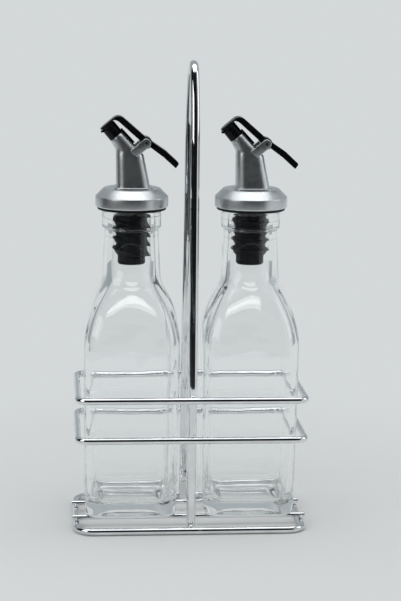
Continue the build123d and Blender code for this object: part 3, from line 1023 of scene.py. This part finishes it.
def make_insert(side, neck_x):
    """One black insert: stem and disc, nozzle, beak and rib."""
    node = f"{side}_spout_insert"
    insert = bmesh.new()
    turned(insert, [(POUR, STOPPER_END), (STEM, STOPPER_END), (STEM, DISC_LOW),
                    (DISC_RADIUS, DISC_LOW), (DISC_RADIUS, DISC_TOP), (STEM, DISC_TOP),
                    (STEM, STEM_TOP), (POUR, STEM_TOP)], steps=48)
    head = [(POUR, 20.0), (3.1, 20.0), (3.1, SHELL_END - 0.1),
            (NOZZLE_RADIUS, SHELL_END + 0.05), (NOZZLE_RADIUS, NOZZLE_END - 1.6),
            (NOZZLE_GROOVE, NOZZLE_END - 1.5), (NOZZLE_GROOVE, NOZZLE_END - 1.2),
            (NOZZLE_RADIUS, NOZZLE_END - 1.1), (NOZZLE_RADIUS, NOZZLE_END - 0.25),
            (3.55, NOZZLE_END), (POUR + 0.3, NOZZLE_END), (POUR, NOZZLE_END - 0.3)]
    turned(insert, head, steps=56, matrix=ALONG_NOZZLE)
    beak = [(NOZZLE_X - 3.2, NOZZLE_END - 1.3), (NOZZLE_X - 3.2, NOZZLE_END - 0.02),
            (NOZZLE_X - 4.45, NOZZLE_END + 0.25), (NOZZLE_X - 4.6, NOZZLE_END - 0.45)]
    side_plate(insert, [tilted(x, z) for x, z in beak], {2: 0.2, 3: 0.2}, -2.2, 2.2, 0.15, 2)
    rib = [(18.0, 23.6), (21.25, 23.6), (20.75, SHELL_END + 1.2), (18.0, SHELL_END + 1.2)]
    side_plate(insert, [tilted(x, z) for x, z in rib], {2: 0.3}, -1.7, 1.7, 0.25, 2)
    finish_piece(insert, f"{node}_black", f"{side}_spout", black, [node],
                 place_mm(neck_x, 0, COLLAR_BASE), sharp=40)


# %% [markdown]
# ## Lever, flap, seal and pin
# The lever is one strip: a thumb tab that slopes down behind the spout, a barrel on the pin, an
# arm that runs up over the spout with a slit of air beneath it, and a bend down to the round flap
# on the nozzle. A side plate gives the strip, and the barrel and the flap are turned. The seal is a
# thin soft disc under the flap. The pin passes through both ears.

# %% Lever
LEVER_HALF = 3.9
FLAP_LOW = 38.5
FLAP_TOP = 39.45
HUB_RADIUS = 3.0
HUB_BORE = 0.92
HUB_BREAK = 0.3
ALONG_PIN = Matrix.Translation(PIN) @ Matrix.Rotation(math.pi / 2, 4, "X")
LEVER_OUTLINE = [(21.5, 37.2), (23.6, 23.4), (23.3, 19.4), (25.4, 17.4), (27.45, 9.0), (28.6, 0.9),
                 (31.5, 1.7), (30.35, 10.5), (28.0, 18.6), (26.9, 22.9), (24.8, 35.8)]
LEVER_OUTLINE += arc((20.9, 35.6), 3.85, 12, 90, 6)
LEVER_OUTLINE += [(17.0, FLAP_TOP), (17.0, FLAP_LOW), (20.3, FLAP_LOW)]
# Radii at three corners of the outline: the bend over the flap, and the end of the thumb tab.
LEVER_ROUNDING = {0: 1.2, 5: 0.5, 6: 0.9}
LEVER_BREAK = 0.45


def weigh_normals(piece):
    """Let the large faces rule the shading, so that flat panels look flat beside rounded edges."""
    modifier = piece.modifiers.new("even shading", "WEIGHTED_NORMAL")
    modifier.keep_sharp = True
    modifier.weight = 80


def make_lever(side, neck_x):
    """One black lever: the strip with its thumb tab, the round flap and the barrel."""
    node = f"{side}_lever"
    lever = bmesh.new()
    outline = [tilted(x, z) for x, z in LEVER_OUTLINE]
    half = LEVER_HALF - 0.1
    side_plate(lever, outline, LEVER_ROUNDING, -half, half, LEVER_BREAK)
    flap = [(0, FLAP_LOW), (LEVER_HALF - 0.15, FLAP_LOW), (LEVER_HALF, FLAP_LOW + 0.15),
            (LEVER_HALF, FLAP_TOP - 0.45), (LEVER_HALF - 0.15, FLAP_TOP - 0.15),
            (LEVER_HALF - 0.5, FLAP_TOP), (0, FLAP_TOP + 0.12)]
    turned(lever, flap, steps=48, matrix=ALONG_NOZZLE)
    barrel = [(HUB_BORE, -LEVER_HALF), (HUB_RADIUS - HUB_BREAK, -LEVER_HALF),
              (HUB_RADIUS, -LEVER_HALF + HUB_BREAK), (HUB_RADIUS, LEVER_HALF - HUB_BREAK),
              (HUB_RADIUS - HUB_BREAK, LEVER_HALF), (HUB_BORE, LEVER_HALF)]
    turned(lever, barrel, steps=40, matrix=ALONG_PIN)
    piece = finish_piece(lever, f"{node}_black", f"{side}_lever", black, [node],
                         place_mm(neck_x, 0, COLLAR_BASE), sharp=40)
    weigh_normals(piece)


# %% Seal and pin
SEAL_RADIUS = 3.5
PIN_RADIUS = 0.85
PIN_NOSE = 0.55


def make_seal_and_pin(side, neck_x):
    """One soft disc under the flap, and one pin through the ears."""
    place = place_mm(neck_x, 0, COLLAR_BASE)
    seal = bmesh.new()
    disc = [(0, NOZZLE_END + 0.1), (SEAL_RADIUS - 0.2, NOZZLE_END + 0.1),
            (SEAL_RADIUS, NOZZLE_END + 0.25), (SEAL_RADIUS, FLAP_LOW), (0, FLAP_LOW)]
    turned(seal, disc, steps=40, matrix=ALONG_NOZZLE)
    finish_piece(seal, f"{side}_flap_seal_disc", f"{side}_lever", rubber,
                 [f"{side}_flap_seal"], place)
    pin = bmesh.new()
    rod = [(0, -EAR_OUTSIDE - 0.12), (PIN_NOSE, -EAR_OUTSIDE - 0.1),
           (PIN_RADIUS, -EAR_OUTSIDE + 0.1), (PIN_RADIUS, EAR_OUTSIDE - 0.1),
           (PIN_NOSE, EAR_OUTSIDE + 0.1), (0, EAR_OUTSIDE + 0.12)]
    turned(pin, rod, steps=32, matrix=ALONG_PIN)
    finish_piece(pin, f"{side}_hinge_pin_rod", f"{side}_spout", steel,
                 [f"{side}_hinge_pin"], place)


# %% [markdown]
# ## Both pourers
# The two pourers are the same moulding, so one loop builds both about the axes of their own spout
# joints. Only the stoppers' lips differ: the left ones are tipped, the right ones nearly level.

# %% Both pourers
LIPS = {"left": {"seed": 0.0, "tip": 0.24, "drop": 0.9},
        "right": {"seed": 4.7, "tip": 0.02, "drop": -0.6}}
for side, lips in LIPS.items():
    neck_x = joints[f"{side}_spout_turn"]["pos_m"][0] / MM
    make_stopper(side, neck_x, **lips)
    make_shell(side, neck_x)
    make_insert(side, neck_x)
    make_lever(side, neck_x)
    make_seal_and_pin(side, neck_x)

# %% [markdown]
# ## Floor
# The set stands on a pale seamless sweep. A wide disc is enough: near the rack it is matt paper
# that takes soft shadows, and further out it glows with the colour of the room behind it, so no
# edge or horizon shows from any side. The blend runs on the distance from the rack.

# %% Paper of the floor
ROOM = (0.658, 0.686, 0.694)
PAPER = (0.80, 0.79, 0.775)
MATT_RADIUS = 0.08
GLOW_RADIUS = 0.29

paper, tree, shader = new_finish("pale_paper", PAPER, Roughness=0.8, Specular_IOR_Level=0.0)
place = tree.nodes.new("ShaderNodeTexCoord")
distance = tree.nodes.new("ShaderNodeVectorMath")
distance.operation = "LENGTH"
tree.links.new(place.outputs["Object"], distance.inputs[0])
far = map_range(tree, distance.outputs["Value"], 0.0, 1.0, MATT_RADIUS, GLOW_RADIUS)
far.node.interpolation_type = "SMOOTHSTEP"
tree.links.new(fade_between(tree, far, PAPER, (0.0, 0.0, 0.0)), shader.inputs["Base Color"])
tree.links.new(far, shader.inputs["Emission Strength"])
shader.inputs["Emission Color"].default_value = (*ROOM, 1.0)
add_bump(tree, shader, scale=900.0, depth=0.0001, strength=0.1)
print("finish:", paper.name)

# %% Floor
FLOOR_RADIUS = 12.0
FLOOR_SIDES = 96
disc = bmesh.new()
bmesh.ops.create_circle(disc, cap_ends=True, cap_tris=True, segments=FLOOR_SIDES,
                        radius=FLOOR_RADIUS)
make_object(disc, "floor", paper)
print("floor radius in metres:", FLOOR_RADIUS)

# %% [markdown]
# ## Room
# Clear glass shows what is behind it, so the room is pale and even near the horizon. Higher up it
# is darker, which gives the chrome and the silver coat a tone to shade into. The room is left out
# of light sampling, because the soft boxes do the lighting and the picture is cleaner without it.

# %% Room
CEILING = (0.36, 0.40, 0.42)
HORIZON = 0.03
CEILING_START = 0.30
world = bpy.data.worlds.new("pale room")
bpy.context.scene.world = world
world.use_nodes = True
world.cycles.sampling_method = "NONE"
sky = world.node_tree
direction = sky.nodes.new("ShaderNodeTexCoord")
split = sky.nodes.new("ShaderNodeSeparateXYZ")
sky.links.new(direction.outputs["Generated"], split.inputs[0])
height = map_range(sky, split.outputs["Z"], 0.0, 1.0, HORIZON, CEILING_START)
sky.links.new(fade_between(sky, height, ROOM, CEILING), sky.nodes["Background"].inputs["Color"])
print("room:", ROOM, "ceiling:", CEILING)

# %% [markdown]
# ## Long light paths
# Near its outline a bottle is crossed edge on, and light bounces many times inside the wall before
# it leaves. A path that is cut short there ends in black, and the outline turns into a heavy black
# line. So each path is followed much further than Blender's own limit of twelve steps.

# %% Bounces
MOST_BOUNCES = 48
paths = bpy.context.scene.cycles
paths.max_bounces = MOST_BOUNCES
paths.transmission_bounces = MOST_BOUNCES
paths.glossy_bounces = MOST_BOUNCES
print("steps of a light path:", paths.max_bounces)

# %% [markdown]
# ## Soft boxes
# The large box overhead draws the white line along the top of each wire and the bright chamfer on
# the collars. A high one in front puts the bright patch on the glass shoulders. It lights only the
# glass, because it would wash out the dark line of the front wires. One at the front left draws the
# white strip down the handle, and one at the right lifts the edges of the glass.

# %% Soft boxes
def soft_box(name, at, target, width, height, power):
    """A rectangular light that looks at a point, with its sizes in metres and power in watts."""
    data = bpy.data.lights.new(name, "AREA")
    data.shape = "RECTANGLE"
    data.size = width
    data.size_y = height
    data.energy = power
    light = bpy.data.objects.new(name, data)
    light.location = at
    light.rotation_euler = (Vector(target) - Vector(at)).to_track_quat("-Z", "Y").to_euler()
    bpy.context.scene.collection.objects.link(light)
    return light


soft_box("overhead soft box", at=(0.0, -0.055, 1.10), target=(0, -0.055, 0.0),
         width=1.3, height=0.87, power=5.2)
high_box = soft_box("high front soft box", at=(0.0, -0.95, 0.97), target=(0, -0.02, 0.13),
                    width=0.9, height=0.22, power=2.3)
soft_box("front left soft box", at=(-0.78, -0.51, 0.50), target=(0, 0, 0.38),
         width=0.55, height=0.50, power=1.9)
soft_box("right soft box", at=(1.3, -0.1, 0.7), target=(0, 0, 0.12),
         width=0.5, height=0.9, power=2.0)
glass_only = bpy.data.collections.new("glass lit by the high front box")
for side in ("left", "right"):
    glass_only.objects.link(bpy.data.objects[f"{side}_bottle_glass"])
high_box.light_linking.receiver_collection = glass_only

# %% [markdown]
# ## Dark side of the studio
# Chrome needs something dark to mirror, or it looks like grey paint. So a black cloth lies on the
# floor in front of the set and rises as a curved wall behind the camera, with a grey wall at each
# side of it. Only reflections see them: they are hidden from the camera and from soft light, and a
# ray that has only crossed glass goes on past them, so none shows through the bottles.

# %% Dark walls
WALL_STEPS = 24
ABOVE_FLOOR = 0.003


def dark_wall(name, finish, near, far, radius, high, start, end):
    """A dark floor from near to far and a curved wall at a radius, between two bearings."""
    edit = bmesh.new()
    turn = Matrix.Rotation(math.radians(start), 3, "Z")
    spans = (((near, ABOVE_FLOOR), (far, ABOVE_FLOOR)), ((radius, ABOVE_FLOOR), (radius, high)))
    for (out, up), (next_out, next_up) in spans:
        side = [edit.verts.new(turn @ Vector((0, -out, up))),
                edit.verts.new(turn @ Vector((0, -next_out, next_up)))]
        side += [edit.edges.new(side[0:2])]
        bmesh.ops.spin(edit, geom=side, cent=(0, 0, 0), axis=(0, 0, 1), dvec=(0, 0, 0),
                       angle=math.radians(end - start), steps=WALL_STEPS, use_merge=False,
                       use_duplicate=False)
    wall = make_object(edit, name, finish)
    wall.visible_camera = False
    wall.visible_diffuse = False
    wall.visible_shadow = False
    print(name, "spans", end - start, "degrees")


def hide_through_glass(tree, shader):
    """Let rays that have only crossed glass go on past a wall."""
    steps = tree.nodes.new("ShaderNodeLightPath")
    bounced = tree.nodes.new("ShaderNodeMath")
    bounced.operation = "ADD"
    bounced.use_clamp = True
    tree.links.new(steps.outputs["Glossy Depth"], bounced.inputs[0])
    tree.links.new(steps.outputs["Diffuse Depth"], bounced.inputs[1])
    either = tree.nodes.new("ShaderNodeMixShader")
    tree.links.new(bounced.outputs["Value"], either.inputs["Fac"])
    tree.links.new(tree.nodes.new("ShaderNodeBsdfTransparent").outputs["BSDF"], either.inputs[1])
    tree.links.new(shader.outputs["BSDF"], either.inputs[2])
    output = next(node for node in tree.nodes if node.type == "OUTPUT_MATERIAL")
    tree.links.new(either.outputs["Shader"], output.inputs["Surface"])


# %% Black cloth
cloth, tree, shader = new_finish("black_studio_cloth", (0.004, 0.004, 0.005), Roughness=0.95)
vary_color(tree, shader, scale=4.0, dark=(0.003, 0.003, 0.004), light=(0.006, 0.006, 0.007))
hide_through_glass(tree, shader)
dark_wall("dark side of the studio", cloth, near=0.42, far=1.85, radius=1.9, high=2.6,
          start=-112, end=45)

# %% Grey walls
GREY = (0.30, 0.33, 0.345)
grey, tree, shader = new_finish("grey_studio_wall", (0.02, 0.02, 0.02), Roughness=0.95,
                                Emission_Color=(*GREY, 1.0), Emission_Strength=1.0)
vary_color(tree, shader, scale=2.0, dark=(0.01, 0.01, 0.01), light=(0.03, 0.03, 0.03))
hide_through_glass(tree, shader)
for glowing in (paper, grey):
    glowing.cycles.emission_sampling = "NONE"
for where, start, end in (("left", -150, -112), ("right", 72, 130)):
    dark_wall(f"grey wall on the {where}", grey, near=1.2, far=2.0, radius=2.0, high=1.1,
              start=start, end=end)

# %% [markdown]
# ## Camera
# A long lens about 0.85 m away looks slightly down at the set from its left front, with the rack's
# handle near the middle of the frame. A long lens keeps the upright lines of the rack nearly
# parallel, as in a catalogue picture. The place is worked out from the angles and the distance.

# %% Camera
LENS = 102.0
SENSOR = 36.0
YAW = 5.29
PITCH = 11.28
ROLL = 0.97
DISTANCE = 0.85357
TARGET = Vector((0.00528, 0.0, 0.1127))
forward = Vector((sine(YAW) * cosine(PITCH), cosine(YAW) * cosine(PITCH), -sine(PITCH)))
level = forward.cross(Vector((0, 0, 1))).normalized()
above = level.cross(forward)
across_frame = cosine(ROLL) * level + sine(ROLL) * above
up_frame = cosine(ROLL) * above - sine(ROLL) * level

camera_data = bpy.data.cameras.new("camera")
camera_data.sensor_width = SENSOR
camera_data.lens = LENS
camera = bpy.data.objects.new("camera", camera_data)
turn = Matrix((across_frame, up_frame, -forward)).transposed()
camera.matrix_world = Matrix.Translation(TARGET - forward * DISTANCE) @ turn.to_4x4()
bpy.context.scene.collection.objects.link(camera)
bpy.context.scene.camera = camera
bpy.context.scene.view_settings.view_transform = "Standard"
print("camera at", [round(value, 3) for value in camera.matrix_world.translation])
